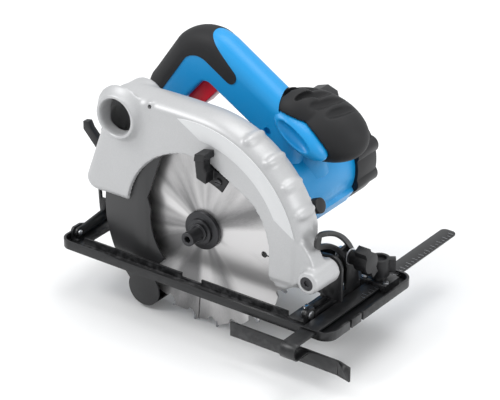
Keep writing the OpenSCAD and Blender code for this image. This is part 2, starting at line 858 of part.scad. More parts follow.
module brush_holders() {
    color("#c9a24b") for (k = [0, 1]) at_brush(k) difference() {
        box([15, -5, -4], [49, 5, 4]);
        box([14, -3.2, -2.4], [47, 3.2, 2.4]);
    }
}

module carbon_brushes() {
    color("#303234") for (k = [0, 1]) at_brush(k) box([13 + gap, -3, -2.2], [29, 3, 2.2]);
}

module brush_springs() {
    color("#b9bcbe") for (k = [0, 1]) at_brush(k) for (i = [0:6])
        translate([30 + i * 2.4, 0, 0]) rotate([0, 90, 0]) rotate_extrude() translate([1.5, 0]) circle(r = 0.4, $fn = 16);
}

module brush_caps() {
    color("#1b1d1f") for (k = [0, 1]) at_brush(k) rotate([0, 90, 0]) difference() {
        translate([0, 0, 49.2]) cylinder(r = 7, h = 9);
        translate([-5, -0.8, 56.6]) cube([10, 1.6, 3]);
    }
}

module motor_housing() {
    color("#1f8fd6") difference() {
        union() {
            rod_y(motor, motor_r, gearbox_y, cap_y);
            // Long rib under the barrel
            slab_xz(gearbox_y + 4, cap_y) polygon([motor + 40 * [cos(-20), sin(-20)], motor + 46.5 * [cos(-26), sin(-26)],
                motor + 47 * [cos(-44), sin(-44)], motor + 40 * [cos(-58), sin(-58)]]);
        }
        rod_y(motor, motor_r - 3, gearbox_y + 3, cap_y + 1);
        rod_y(motor, 38, gearbox_y - 1, gearbox_y + 4);
        // Exhaust slots beside the fan
        for (a = [70:12:250]) translate([motor[0], fan_y + 2, motor[1]]) rotate([0, -a, 0])
            box([motor_r - 5, 0, -1.6], [motor_r + 5, 14, 1.6]);
    }
}

module motor_end_cap() {
    color("#222426") difference() {
        union() {
            rod_y(motor, motor_r + 3, cap_y, cap_end_y - 12);
            translate([motor[0], cap_end_y - 12, motor[1]]) rotate([-90, 0, 0])
                cylinder(r1 = motor_r + 3, r2 = motor_r - 8, h = 12);
            // Bosses of the case screws
            for (a = cap_screw_a) rod_y(motor + cap_screw_r * unit(a), 8, cap_y, cap_end_y - 10);
            slab_xz(cap_y, cap_end_y - 12) polygon(motor_points([[38, 128], [55, 119], [60, 109], [61, 98], [57, 88], [38, 78]]));
            for (k = [0, 1]) at_brush(k) rotate([0, 90, 0]) cylinder(r = 9.5, h = 51);
        }
        for (k = [0, 1]) at_brush(k) {
            rotate([0, 90, 0]) translate([0, 0, 49]) cylinder(r = 7 + fit, h = 8);
            box([14, -5, -4], [49.1, 5, 4]);
        }
        difference() {
            rod_y(motor, motor_r - 1, cap_y - 1, cap_end_y - 14);
            rod_y(motor, 14, tail_y[0], tail_y[1] + 20);
        }
        rod_y(motor, 11, cap_y - 1, tail_y[1]);
        // Intake slots
        for (i = [-4:4]) for (s = [-1, 1]) translate([motor[0] + i * 6 - 1.3, cap_end_y - 20, motor[1] + s * 23 - 8])
            cube([2.6, 30, 16]);
        for (a = cap_screw_a) {
            rod_y(motor + cap_screw_r * unit(a), 2, cap_y - 1, cap_end_y);
            rod_y(motor + cap_screw_r * unit(a), 4, cap_end_y - 10, cap_end_y + 1);
        }
    }
}

cap_screw_a = [20, 160, 200, 340];
cap_screw_r = 41;
function motor_points(list) = [for (p = list) motor + p[0] * [cos(p[1]), sin(p[1])]];

module cap_screws() {
    color("#b9bcbe") for (a = cap_screw_a) {
        c = motor + cap_screw_r * unit(a);
        translate([c[0], cap_end_y - 10, c[1]]) rotate([-90, 0, 0]) pan_screw(3.6, 1.8, 2, cap_end_y - 10 - cap_y);
    }
}

// ---- Handle ----

inner_r = 9;

// Side view of the handle, drawn in by d
function handle_outline(d) = concat(
    arc(leg_foot, leg_foot_r - d, -10, 90 + leg_angle, 8),
    arc(handle_apex, handle_top_r - d, 90 + leg_angle, 90 + grip_angle, 16),
    arc(grip_foot, grip_foot_r - d, 90 + grip_angle, 180, 8),
    arc(heel, heel_r - d, 180, 262, 8),
    [[-66, 81 + d], [-12, 58 + d], [52, 92]]);

// Opening of the loop, widened by d
function loop_outline(d) = concat(
    arc([-33.5, 154.4], inner_r + d, 90 + leg_angle, 90 + grip_angle, 8),
    arc([-76, 107.6], inner_r + d, 90 + grip_angle, 265, 10),
    [[-16, 104 - d], [6, 112 - d], [20 + d, 130], [21 + d, 132]]);

module handle_half(y0, y1, side) {
    color("#1f8fd6") difference() {
        slab_xz(y0, y1) difference() {
            polygon(handle_outline(0));
            polygon(loop_outline(0));
        }
        // Hollow of the shell
        slab_xz(side < 0 ? y0 + shell_wall : y0 - 1, side < 0 ? y1 + 1 : y1 - shell_wall) difference() {
            polygon(handle_outline(shell_wall));
            polygon(loop_outline(shell_wall));
        }
        rod_y(motor, motor_r + 0.02, 40, 160);
        // Recess under the soft grip
        slab_xz(side < 0 ? y0 - 1 : y1 - 1, side < 0 ? y0 + 1 : y1 + 1) polygon(overmould_outline());
        // Passage of the trigger
        in_grip() box([-43.5, 59.5, -6], [-2.5, 78.5, 13]);
        rod_y(lock_off_pos, 5 + gap, handle_y + 5, handle_y + 30);
        for (p = handle_screw_points) rod_y(p, 2, 40, handle_y + 10);
        for (p = handle_screw_points) rod_y(p, 4, handle_y - handle_w / 2 - 1, handle_y - handle_w / 2 + 2.5);
        rod_x([handle_y, heel[1]], 8, heel[0] - heel_r - 1, heel[0] - heel_r + 9);
        knob_seat();
    }
}

handle_screw_points = [[18, 131], [-94, 106]];

module handle_shell_right() {
    handle_half(handle_y - handle_w / 2, handle_y, -1);
}

module handle_shell_left() {
    handle_half(handle_y, handle_y + handle_w / 2, 1);
}

module handle_screws() {
    y0 = handle_y - handle_w / 2 + 2.5;
    color("#8d9092") for (p = handle_screw_points)
        translate([p[0], y0, p[1]]) rotate([90, 0, 0]) pan_screw(3.6, 1.6, 1.9, 12);
}

// Places children in the grip's frame: X up along the grip, Z out of its back
module in_grip() {
    translate([-33, 0, 165.6]) rotate([0, -grip_angle, 0]) children();
}

// Soft pad let into both sides of the grip
function overmould_outline() = concat(
    arc(handle_apex, handle_top_r - 3, 88, 90 + grip_angle, 10),
    arc(grip_foot, grip_foot_r - 3, 90 + grip_angle, 175, 5),
    [[-96, 126], [-88, 140]],
    arc([-47, 164], 19, 90 + grip_angle, 62, 6),
    arc([-11, 172], 6.5, -130, 50, 8));

module grip_overmould() {
    half = handle_w / 2;
    color("#3a3c3e") {
        for (s = [-1, 1]) slab_xz(handle_y + s * half - (s > 0 ? 1 : 0), handle_y + s * half + (s > 0 ? 0 : 1))
            polygon(overmould_outline());
    }
}

module trigger() {
    color("#e8323c") in_grip() difference() {
        translate([0, 78, 0]) rotate([90, 0, 0]) linear_extrude(18) polygon(concat(
            arc([-9, -8], 4, 0, -90, 4), arc([-35, -5], 8, 270, 180, 6), [[-41, 6], [-5, 6]]));
        box([-38, 62, 2], [-8, 76, 7]);
    }
}

module trigger_spring() {
    color("#b9bcbe") in_grip() for (i = [0:2]) translate([-24, handle_y, 4 + i * 3])
        rotate_extrude() translate([3.4, 0]) circle(r = 0.5, $fn = 16);
}

module switch_body() {
    color("#2b2d2f") in_grip() box([-44, 60, 13.5], [-8, 78, 26]);
}

lock_off_pos = [-42, 176];

module lock_off_button() {
    y1 = handle_y + handle_w / 2;
    color("#1b1d1f") {
        rod_y(lock_off_pos, 5, y1 - 7, y1 + 4);
    }
}

module cord_inlet() {
    rear = heel[0] - heel_r;
    color("#1b1d1f") difference() {
        union() {
            rod_x([handle_y, heel[1]], 8 - 0.02, rear - 4, rear + 8);
            rod_x([handle_y, heel[1]], 10, rear - 4, rear);
        }
        rod_x([handle_y, heel[1]], 4, rear - 5, rear + 9);
    }
}

// ---- Front knob ----

knob_tilt = 10;

// Half section of the knob, as a lathe profile about its long axis
function knob_profile(len, rad) = [for (i = [0:16]) let (t = 180 * i / 16) [rad * sin(t) + 0.001, -len * cos(t)]];

module knob_body(len, rad) {
    translate(knob_c) rotate([0, 90 + knob_tilt, 0]) rotate_extrude() polygon(concat(knob_profile(len, rad), [[0, len], [0, -len]]));
}

module knob_seat() {
    knob_body(knob_len + 0.2, knob_r + 0.2);
    rod_z([46, 88], 15.02, 84, 132);
}

module knob_core() {
    color("#1f8fd6") difference() {
        union() {
            knob_body(knob_len - 4, knob_r - 4);
            rod_z([46, 88], 15, 84, 132);
        }
        rod_y(motor, motor_r + 0.02, 40, 160);
    }
}

module knob_overmould() {
    color("#3a3c3e") difference() {
        knob_body(knob_len, knob_r);
        knob_body(knob_len - 4, knob_r - 4);
        rod_z([46, 88], 15.02, 60, 132);
        rod_y(motor, motor_r + 0.3, 40, 160);
    }
}

base_plate();
bevel_quadrant();
rear_bracket();
base_rivets();
guide_bridge();
bridge_screws();
guide_knob();
parallel_guide();
tilt_pins();
front_tilt_bracket();
rear_tilt_bracket();
depth_link();
bevel_bolt();
bevel_knob();
depth_pivot_bolt();
depth_clamp_bolt();
depth_lever();
upper_guard();
label_panel();
gear_housing();
gearbox_screws();
guard_screws();
lower_guard();
guard_lever();
lever_screw();
guard_spring();
saw_blade();
carbide_tips();
inner_flange();
outer_flange();
blade_bolt();
spindle();
drive_gear();
spindle_bearings();
motor_housing();
motor_end_cap();
cap_screws();
armature_shaft();
armature_core();
commutator();
cooling_fan();
armature_bearings();
field_stator();
brush_holders();
carbon_brushes();
brush_springs();
brush_caps();
handle_shell_right();
handle_shell_left();
grip_overmould();
trigger();
trigger_spring();
switch_body();
lock_off_button();
cord_inlet();
knob_core();
knob_overmould();
spindle_lock();
handle_screws();
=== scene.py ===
import json
import math

import bmesh
import bpy
from mathutils import Matrix, Vector


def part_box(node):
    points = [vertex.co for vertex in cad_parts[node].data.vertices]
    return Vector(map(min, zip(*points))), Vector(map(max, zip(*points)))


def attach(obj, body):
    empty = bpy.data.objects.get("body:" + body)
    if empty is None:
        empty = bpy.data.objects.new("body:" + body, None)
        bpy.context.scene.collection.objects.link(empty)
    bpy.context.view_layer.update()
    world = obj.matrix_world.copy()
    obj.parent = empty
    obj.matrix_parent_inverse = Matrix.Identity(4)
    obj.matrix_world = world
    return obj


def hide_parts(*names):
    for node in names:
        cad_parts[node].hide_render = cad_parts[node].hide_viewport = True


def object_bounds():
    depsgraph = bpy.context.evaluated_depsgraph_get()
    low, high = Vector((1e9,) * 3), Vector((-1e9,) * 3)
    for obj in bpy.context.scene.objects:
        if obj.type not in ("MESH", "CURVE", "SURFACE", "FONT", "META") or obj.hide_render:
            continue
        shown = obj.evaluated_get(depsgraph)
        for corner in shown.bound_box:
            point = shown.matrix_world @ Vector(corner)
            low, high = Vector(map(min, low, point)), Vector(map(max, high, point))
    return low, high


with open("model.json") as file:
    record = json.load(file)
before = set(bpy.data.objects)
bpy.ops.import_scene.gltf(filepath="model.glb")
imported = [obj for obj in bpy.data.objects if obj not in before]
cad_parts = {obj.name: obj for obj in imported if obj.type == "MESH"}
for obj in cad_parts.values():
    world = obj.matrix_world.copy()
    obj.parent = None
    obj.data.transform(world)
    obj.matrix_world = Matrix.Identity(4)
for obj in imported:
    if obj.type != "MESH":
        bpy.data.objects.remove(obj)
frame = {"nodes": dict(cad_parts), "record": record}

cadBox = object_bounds()
mm = 0.001
lowest = cadBox[0]


def polar(centre, radius, angle):
    turn = math.radians(angle)
    return (centre[0] + radius * math.cos(turn), centre[1] + radius * math.sin(turn))


def arc(centre, radius, start, end, count=12):
    return [polar(centre, radius, start + (end - start) * i / count) for i in range(count + 1)]


def boxMiddle(node):
    low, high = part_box(node)
    return (low + high) / 2


def axisOf(node):
    # where an axle that runs along Y sits in X and Z, in millimetres
    return tuple(boxMiddle(node)[i] / mm for i in (0, 2))


def turnY(angle):
    return Matrix.Rotation(math.radians(angle), 4, "Y")


def flatFace(bm, points, y):
    # one face from an outline in X and Z, looking towards -Y
    return bm.faces.new([bm.verts.new((x * mm, y * mm, z * mm)) for x, z in points])


def crownedSlab(bm, points, middle, near=(), far=()):
    # a slab that starts from its middle plane and is drawn in by (y, inset) steps on both sides
    for steps in (near, far):
        face = flatFace(bm, points, middle)
        depth, inset = middle, 0.0
        for y, total in steps:
            bm.normal_update()
            bmesh.ops.inset_region(bm, faces=[face], thickness=(total - inset) * mm, use_even_offset=True,
                                   use_boundary=True)
            bmesh.ops.translate(bm, verts=face.verts[:], vec=(0, (y - depth) * mm, 0))
            depth, inset = y, total
    bmesh.ops.remove_doubles(bm, verts=bm.verts[:], dist=0.01 * mm)
    bmesh.ops.recalc_face_normals(bm, faces=bm.faces[:])


def slab(bm, points, y0, y1):
    face = flatFace(bm, points, y0)
    made = bmesh.ops.extrude_face_region(bm, geom=[face])
    verts = [item for item in made["geom"] if isinstance(item, bmesh.types.BMVert)]
    bmesh.ops.translate(bm, verts=verts, vec=(0, (y1 - y0) * mm, 0))
    bmesh.ops.recalc_face_normals(bm, faces=bm.faces[:])


def rod(bm, centre, r1, r2, start, end, axis="Y"):
    # a round bar or cone along Y or Z; centre holds the other two coordinates in the order of the axes
    made = bmesh.ops.create_cone(bm, cap_ends=True, segments=64, radius1=r1 * mm, radius2=r2 * mm,
                                 depth=(end - start) * mm)
    middle = (start + end) / 2
    if axis == "Y":
        turn, place = Matrix.Rotation(math.radians(-90), 4, "X"), (centre[0], middle, centre[1])
    else:
        turn, place = Matrix.Identity(4), (centre[0], centre[1], middle)
    bmesh.ops.transform(bm, matrix=Matrix.Translation([v * mm for v in place]) @ turn, verts=made["verts"])


def ball(bm, centre, size, turn=Matrix.Identity(4), count=48):
    made = bmesh.ops.create_uvsphere(bm, u_segments=count, v_segments=count // 2, radius=mm)
    place = Matrix.Translation([v * mm for v in centre])
    bmesh.ops.transform(bm, matrix=place @ turn @ Matrix.Diagonal((*size, 1)), verts=made["verts"])


def block(bm, low, high, turn=Matrix.Identity(4)):
    made = bmesh.ops.create_cube(bm, size=1)
    size = [(high[i] - low[i]) * mm for i in range(3)]
    place = [(high[i] + low[i]) / 2 * mm for i in range(3)]
    matrix = turn @ Matrix.Translation(place) @ Matrix.Diagonal((*size, 1))
    bmesh.ops.transform(bm, matrix=matrix, verts=made["verts"])


def toObject(name, bm):
    mesh = bpy.data.meshes.new(name)
    bm.to_mesh(mesh)
    bm.free()
    piece = bpy.data.objects.new(name, mesh)
    bpy.context.scene.collection.objects.link(piece)
    return piece


def settle(piece):
    # apply the modifiers that are on a piece
    bpy.context.view_layer.update()
    done = bpy.data.meshes.new_from_object(piece.evaluated_get(bpy.context.evaluated_depsgraph_get()))
    old = piece.data
    piece.modifiers.clear()
    piece.data = done
    done.name = piece.name
    bpy.data.meshes.remove(old)


def combine(piece, other, how):
    join = piece.modifiers.new("combine", "BOOLEAN")
    join.object = other
    join.operation = how
    join.solver = "MANIFOLD"
    settle(piece)
    bpy.data.objects.remove(other)


def cut(piece, *cutters):
    # each cutter is a function that fills a bmesh with what is taken away
    for number, build in enumerate(cutters):
        bm = bmesh.new()
        build(bm)
        combine(piece, toObject(f"{piece.name}Cut{number}", bm), "DIFFERENCE")


def melt(piece, voxel, rounds):
    # joins overlapping solids into one skin and rounds its edges
    remesh = piece.modifiers.new("remesh", "REMESH")
    remesh.mode = "VOXEL"
    remesh.voxel_size = voxel * mm
    remesh.use_smooth_shade = True
    smooth = piece.modifiers.new("smooth", "SMOOTH")
    smooth.iterations = rounds
    smooth.factor = 0.5
    settle(piece)


def finishPiece(piece, body, slotName, material, *nodes, angle=30):
    mesh = piece.data
    mesh.materials.clear()
    mesh.materials.append(material)
    mesh.polygons.foreach_set("use_smooth", [True] * len(mesh.polygons))
    mesh.set_sharp_from_angle(angle=math.radians(angle))
    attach(piece, body)
    if nodes:
        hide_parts(*nodes)


def bodyOf(node):
    return next(name for name, nodes in frame["record"]["behaviour"]["bodies"].items() if node in nodes)


def softened(node, width, material, slotName):
    # the CAD shape with its doubles merged and its sharp edges broken
    bm = bmesh.new()
    bm.from_mesh(frame["nodes"][node].data)
    bmesh.ops.remove_doubles(bm, verts=bm.verts[:], dist=0.002 * mm)
    bmesh.ops.dissolve_limit(bm, angle_limit=math.radians(1), verts=bm.verts[:], edges=bm.edges[:])
    piece = toObject(f"{node}_finished", bm)
    bevel = piece.modifiers.new("edges", "BEVEL")
    bevel.width = width * mm
    bevel.segments = 2
    bevel.limit_method = "ANGLE"
    bevel.angle_limit = math.radians(35)
    bevel.use_clamp_overlap = True
    settle(piece)
    finishPiece(piece, bodyOf(node), slotName, material, node, angle=40)


def newGroup(name, inputs, outputs):
    group = bpy.data.node_groups.new(name, "ShaderNodeTree")
    for label, kind, value in inputs:
        socket = group.interface.new_socket(label, in_out="INPUT", socket_type=kind)
        socket.default_value = value
    for label, kind in outputs:
        group.interface.new_socket(label, in_out="OUTPUT", socket_type=kind)
    return group, group.nodes.new("NodeGroupInput"), group.nodes.new("NodeGroupOutput")


def feed(tree, socket, value):
    # a number is set on the socket, anything else is linked to it
    if isinstance(value, (int, float)):
        socket.default_value = value
    else:
        tree.links.new(value, socket)


def mathNode(tree, operation, a, b=None, clamp=False):
    node = tree.nodes.new("ShaderNodeMath")
    node.operation = operation
    node.use_clamp = clamp
    feed(tree, node.inputs[0], a)
    if b is not None:
        feed(tree, node.inputs[1], b)
    return node.outputs[0]


def noiseNode(tree, vector, scale, detail=2.0, rough=0.5):
    node = tree.nodes.new("ShaderNodeTexNoise")
    tree.links.new(vector, node.inputs["Vector"])
    for label, value in (("Scale", scale), ("Detail", detail), ("Roughness", rough)):
        feed(tree, node.inputs[label], value)
    return node.outputs["Fac"]


def rangeNode(tree, value, low, high, newLow=0.0, newHigh=1.0):
    node = tree.nodes.new("ShaderNodeMapRange")
    tree.links.new(value, node.inputs["Value"])
    for label, number in (("From Min", low), ("From Max", high), ("To Min", newLow), ("To Max", newHigh)):
        feed(tree, node.inputs[label], number)
    return node.outputs["Result"]


def mixColour(tree, factor, a, b):
    node = tree.nodes.new("ShaderNodeMix")
    node.data_type = "RGBA"
    tree.links.new(factor, node.inputs["Factor"])
    for socket, value in zip(node.inputs[6:8], (a, b)):
        if isinstance(value, tuple):
            socket.default_value = (*value, 1)
        else:
            tree.links.new(value, socket)
    return node.outputs[2]


surface = dict(cloud=22.0, patches=160.0, ridge=(0.53, 0.62), patchRange=(0.42, 0.62), relief=0.3, coatRough=0.25)


def buildFinishGroup():
    # cloudy tone and fine grain, used by every moulded or painted finish
    group, source, sink = newGroup("finishTone", [
        ("Colour", "NodeSocketColor", (0.5, 0.5, 0.5, 1)), ("Tone", "NodeSocketFloat", 0.06),
        ("Roughness", "NodeSocketFloat", 0.4), ("Spread", "NodeSocketFloat", 0.08),
        ("Grain", "NodeSocketFloat", 900.0)],
        [("Colour", "NodeSocketColor"), ("Roughness", "NodeSocketFloat"), ("Height", "NodeSocketFloat")])
    place = group.nodes.new("ShaderNodeTexCoord").outputs["Object"]
    cloud = noiseNode(group, place, surface["cloud"], 4.0)
    fine = noiseNode(group, place, source.outputs["Grain"])
    hue = group.nodes.new("ShaderNodeHueSaturation")
    group.links.new(source.outputs["Colour"], hue.inputs["Color"])
    swing = mathNode(group, "MULTIPLY", mathNode(group, "SUBTRACT", cloud, 0.5), source.outputs["Tone"])
    speck = mathNode(group, "MULTIPLY", mathNode(group, "SUBTRACT", fine, 0.5), source.outputs["Tone"])
    group.links.new(mathNode(group, "ADD", mathNode(group, "ADD", swing, speck), 1.0), hue.inputs["Value"])
    uneven = mathNode(group, "MULTIPLY", mathNode(group, "SUBTRACT", cloud, 0.5), source.outputs["Spread"])
    rough = mathNode(group, "ADD", source.outputs["Roughness"], uneven, clamp=True)
    group.links.new(hue.outputs["Color"], sink.inputs["Colour"])
    group.links.new(rough, sink.inputs["Roughness"])
    group.links.new(fine, sink.inputs["Height"])
    return group


def buildWearAndHighlightGroup():
    # lightens sharp corners in patches: real wear where hands and boards rub, and a painted edge highlight
    group, source, sink = newGroup("edgeWearAndHighlight", [
        ("Colour", "NodeSocketColor", (0.5, 0.5, 0.5, 1)), ("Worn And Highlight", "NodeSocketColor", (0.6, 0.6, 0.6, 1)),
        ("Amount", "NodeSocketFloat", 0.3)], [("Colour", "NodeSocketColor"), ("Mask", "NodeSocketFloat")])
    place = group.nodes.new("ShaderNodeTexCoord").outputs["Object"]
    ridge = group.nodes.new("ShaderNodeNewGeometry").outputs["Pointiness"]
    mask = rangeNode(group, ridge, *surface["ridge"])
    patch = rangeNode(group, noiseNode(group, place, surface["patches"], 3.0), *surface["patchRange"])
    spots = mathNode(group, "MULTIPLY", mask, patch)
    amount = mathNode(group, "MULTIPLY", spots, source.outputs["Amount"], clamp=True)
    wornAndHighlight = mixColour(group, amount, source.outputs["Colour"], source.outputs["Worn And Highlight"])
    group.links.new(wornAndHighlight, sink.inputs["Colour"])
    group.links.new(amount, sink.inputs["Mask"])
    return group


finishTone = buildFinishGroup()
edgeWearAndHighlight = buildWearAndHighlightGroup()
print("shader groups ready")

# the lighter edge colours and their amounts stand for real rubbed edges and a painted edge highlight together
finishes = {
    "castAluminium": dict(colour=(0.46, 0.462, 0.466), metal=0.35, rough=0.44, spread=0.14, tone=0.16, grain=1100,
                          bump=0.2, wornAndHighlight=(0.85, 0.85, 0.86), wearAndHighlight=0.35),
    "labelFilm": dict(colour=(0.6, 0.605, 0.61), rough=0.38, tone=0.02, grain=400, bump=0.02),
    "bluePlastic": dict(colour=(0.0, 0.262, 0.6), rough=0.38, spread=0.08, tone=0.05, grain=1500, bump=0.06,
                        wornAndHighlight=(0.1, 0.45, 0.85), wearAndHighlight=0.25),
    "softGrip": dict(colour=(0.013, 0.013, 0.014), rough=0.6, spread=0.1, tone=0.14, grain=1900, bump=0.16,
                     wornAndHighlight=(0.05, 0.05, 0.052), wearAndHighlight=0.3, specular=0.3),
    "redPlastic": dict(colour=(0.78, 0.008, 0.025), rough=0.34, tone=0.05, grain=1500, bump=0.04),
    "blackPlastic": dict(colour=(0.01, 0.01, 0.011), rough=0.42, spread=0.12, tone=0.12, grain=1500, bump=0.1,
                         wornAndHighlight=(0.05, 0.05, 0.052), wearAndHighlight=0.5, specular=0.35),
    "blackSteel": dict(colour=(0.009, 0.0092, 0.01), rough=0.36, spread=0.14, tone=0.14, grain=700, bump=0.05,
                       wornAndHighlight=(0.12, 0.12, 0.123), wearAndHighlight=0.4, coat=0.1, specular=0.35),
    "guardGrey": dict(colour=(0.018, 0.018, 0.019), rough=0.34, spread=0.12, tone=0.1, grain=500, bump=0.04,
                      wornAndHighlight=(0.12, 0.12, 0.123), wearAndHighlight=0.4, coat=0.15, specular=0.4),
    "darkSteel": dict(colour=(0.045, 0.045, 0.048), metal=0.8, rough=0.38, spread=0.15, tone=0.15, grain=900,
                      bump=0.05, wornAndHighlight=(0.3, 0.3, 0.31), wearAndHighlight=0.5),
    "zincPlate": dict(colour=(0.56, 0.57, 0.59), metal=1.0, rough=0.28, spread=0.18, tone=0.12, grain=800,
                      bump=0.03),
    "turnedSteel": dict(colour=(0.48, 0.485, 0.5), metal=1.0, rough=0.32, spread=0.16, tone=0.1, grain=900,
                        bump=0.04),
    "carbide": dict(colour=(0.34, 0.35, 0.37), metal=1.0, rough=0.42, spread=0.1, tone=0.12, grain=1200,
                    bump=0.04),
    "copperWinding": dict(colour=(0.6, 0.24, 0.1), metal=0.9, rough=0.36, spread=0.1, tone=0.2, grain=700,
                          bump=0.1),
    "brassSheet": dict(colour=(0.68, 0.46, 0.17), metal=1.0, rough=0.32, spread=0.1, tone=0.1, grain=600,
                       bump=0.03),
    "carbonBlock": dict(colour=(0.022, 0.022, 0.023), rough=0.66, spread=0.1, tone=0.1, grain=1500, bump=0.1),
}


def newMaterial(name):
    material = bpy.data.materials.new(name)
    material.use_nodes = True
    return material, material.node_tree, material.node_tree.nodes["Principled BSDF"]


def addRelief(tree, shader, height, strength, depth):
    relief = tree.nodes.new("ShaderNodeBump")
    relief.inputs["Strength"].default_value = strength
    relief.inputs["Distance"].default_value = depth * mm
    tree.links.new(height, relief.inputs["Height"])
    tree.links.new(relief.outputs["Normal"], shader.inputs["Normal"])


def makeFinish(name, colour, rough, tone, grain, bump, metal=0.0, spread=0.05, wornAndHighlight=None, wearAndHighlight=0.0, coat=0.0,
               specular=0.5):
    material, tree, shader = newMaterial(name)
    base = tree.nodes.new("ShaderNodeGroup")
    base.node_tree = finishTone
    for label, value in (("Colour", (*colour, 1)), ("Tone", tone), ("Roughness", rough), ("Spread", spread),
                         ("Grain", grain)):
        base.inputs[label].default_value = value
    tint = base.outputs["Colour"]
    # lighter edges: real wear and a painted edge highlight
    if wornAndHighlight:
        wearAndHighlightNode = tree.nodes.new("ShaderNodeGroup")
        wearAndHighlightNode.node_tree = edgeWearAndHighlight
        wearAndHighlightNode.inputs["Worn And Highlight"].default_value = (*wornAndHighlight, 1)
        wearAndHighlightNode.inputs["Amount"].default_value = wearAndHighlight
        tree.links.new(tint, wearAndHighlightNode.inputs["Colour"])
        tint = wearAndHighlightNode.outputs["Colour"]
    tree.links.new(tint, shader.inputs["Base Color"])
    tree.links.new(base.outputs["Roughness"], shader.inputs["Roughness"])
    addRelief(tree, shader, base.outputs["Height"], bump, surface["relief"])
    shader.inputs["Metallic"].default_value = metal
    shader.inputs["Specular IOR Level"].default_value = specular
    shader.inputs["Coat Weight"].default_value = coat
    shader.inputs["Coat Roughness"].default_value = surface["coatRough"]
    material.diffuse_color = (*colour, 1)
    return material


finish = {name: makeFinish(name, **values) for name, values in finishes.items()}

# the blade's two colours carry a painted reflection of the brushed disc, with a small share of real grind
# scratches mixed in
bladeLook = dict(darkReflectionAndGrind=(0.2, 0.198, 0.2), brightReflectionAndGrind=(0.62, 0.61, 0.61), reflectionSectors=1.7, scratches=60.0, scratchShare=0.08,
                 contrast=(0.38, 0.62), darkRough=0.46, brightRough=0.3, metal=0.85, bump=0.15, relief=0.1)


def makeBladeSteel():
    # ground steel: a painted reflection as cloudy lighter and darker sectors about the arbor, and real fine
    # scratches along the radius
    material, tree, shader = newMaterial("bladeSteel")
    centre = boxMiddle("spindle")
    place = tree.nodes.new("ShaderNodeMapping")
    place.inputs["Location"].default_value = (-centre.x, 0, -centre.z)
    tree.links.new(tree.nodes.new("ShaderNodeTexCoord").outputs["Object"], place.inputs["Vector"])
    split = tree.nodes.new("ShaderNodeSeparateXYZ")
    tree.links.new(place.outputs["Vector"], split.inputs[0])
    x, z = split.outputs["X"], split.outputs["Z"]
    squares = mathNode(tree, "ADD", mathNode(tree, "MULTIPLY", x, x), mathNode(tree, "MULTIPLY", z, z))
    radius = mathNode(tree, "MAXIMUM", mathNode(tree, "SQRT", squares), 1e-4)
    around = tree.nodes.new("ShaderNodeCombineXYZ")
    tree.links.new(mathNode(tree, "DIVIDE", x, radius), around.inputs["X"])
    tree.links.new(mathNode(tree, "DIVIDE", z, radius), around.inputs["Y"])
    tree.links.new(mathNode(tree, "MULTIPLY", radius, 4.0), around.inputs["Z"])
    # painted reflection: lighter and darker sectors around the arbor
    reflectionSectors = noiseNode(tree, around.outputs[0], bladeLook["reflectionSectors"], 2.0, 0.6)
    scratches = noiseNode(tree, around.outputs[0], bladeLook["scratches"], 3.0, 0.7)
    share = bladeLook["scratchShare"]
    tone = mathNode(tree, "ADD", mathNode(tree, "MULTIPLY", reflectionSectors, 1 - share),
                    mathNode(tree, "MULTIPLY", scratches, share))
    # mostly painted reflection, partly real scratches
    reflectionAndGrind = rangeNode(tree, tone, *bladeLook["contrast"])
    tree.links.new(mixColour(tree, reflectionAndGrind, bladeLook["darkReflectionAndGrind"], bladeLook["brightReflectionAndGrind"]), shader.inputs["Base Color"])
    rough = rangeNode(tree, reflectionAndGrind, 0.0, 1.0, bladeLook["darkRough"], bladeLook["brightRough"])
    tree.links.new(rough, shader.inputs["Roughness"])
    addRelief(tree, shader, scratches, bladeLook["bump"], bladeLook["relief"])
    shader.inputs["Metallic"].default_value = bladeLook["metal"]
    return material


finish["bladeSteel"] = makeBladeSteel()

slotFinish = {
    "casting": "castAluminium", "label": "labelFilm", "blue_plastic": "bluePlastic", "soft_grip": "softGrip",
    "red_plastic": "redPlastic", "black_plastic": "blackPlastic", "black_steel": "blackSteel",
    "guard_grey": "guardGrey", "blade_steel": "bladeSteel", "carbide": "carbide", "dark_steel": "darkSteel",
    "zinc": "zincPlate", "steel": "turnedSteel", "copper": "copperWinding", "brass": "brassSheet",
    "carbon": "carbonBlock",
}
slotOf = {part["node"]: part["material_slot"] for part in frame["record"]["subparts"]}
for node, piece in frame["nodes"].items():
    piece.data.materials.clear()
    piece.data.materials.append(finish[slotFinish[slotOf[node]]])
print("materials ready")

# bevel widths, in millimetres, of the machined, pressed and moulded parts that keep their CAD shape
edgeWidths = {
    "base_plate": 0.5, "bevel_quadrant": 0.4, "rear_bracket": 0.4, "base_rivets": 0.3, "guide_bridge": 0.6,
    "bridge_screws": 0.3, "guide_knob": 1.0, "parallel_guide": 0.4, "tilt_pins": 0.3, "front_tilt_bracket": 0.5,
    "rear_tilt_bracket": 0.5, "depth_link": 0.4, "bevel_bolt": 0.25, "bevel_knob": 1.2, "depth_pivot_bolt": 0.5,
    "depth_clamp_bolt": 0.4, "depth_lever": 1.0, "lower_guard": 0.35, "lever_screw": 0.3,
    "outer_flange": 0.6, "blade_bolt": 0.6, "motor_housing": 1.6, "motor_end_cap": 1.8, "cap_screws": 0.3,
    "trigger": 1.2, "cord_inlet": 0.8, "spindle_lock": 0.8, "handle_screws": 0.3, "lock_off_button": 0.8,
    "brush_caps": 0.6, "gear_housing": 1.2, "carbide_tips": 0.08,
}
for node, width in edgeWidths.items():
    softened(node, width, finish[slotFinish[slotOf[node]]], slotOf[node])
print("edges broken")

arbor = axisOf("spindle")
motorAxis = axisOf("armature_shaft")

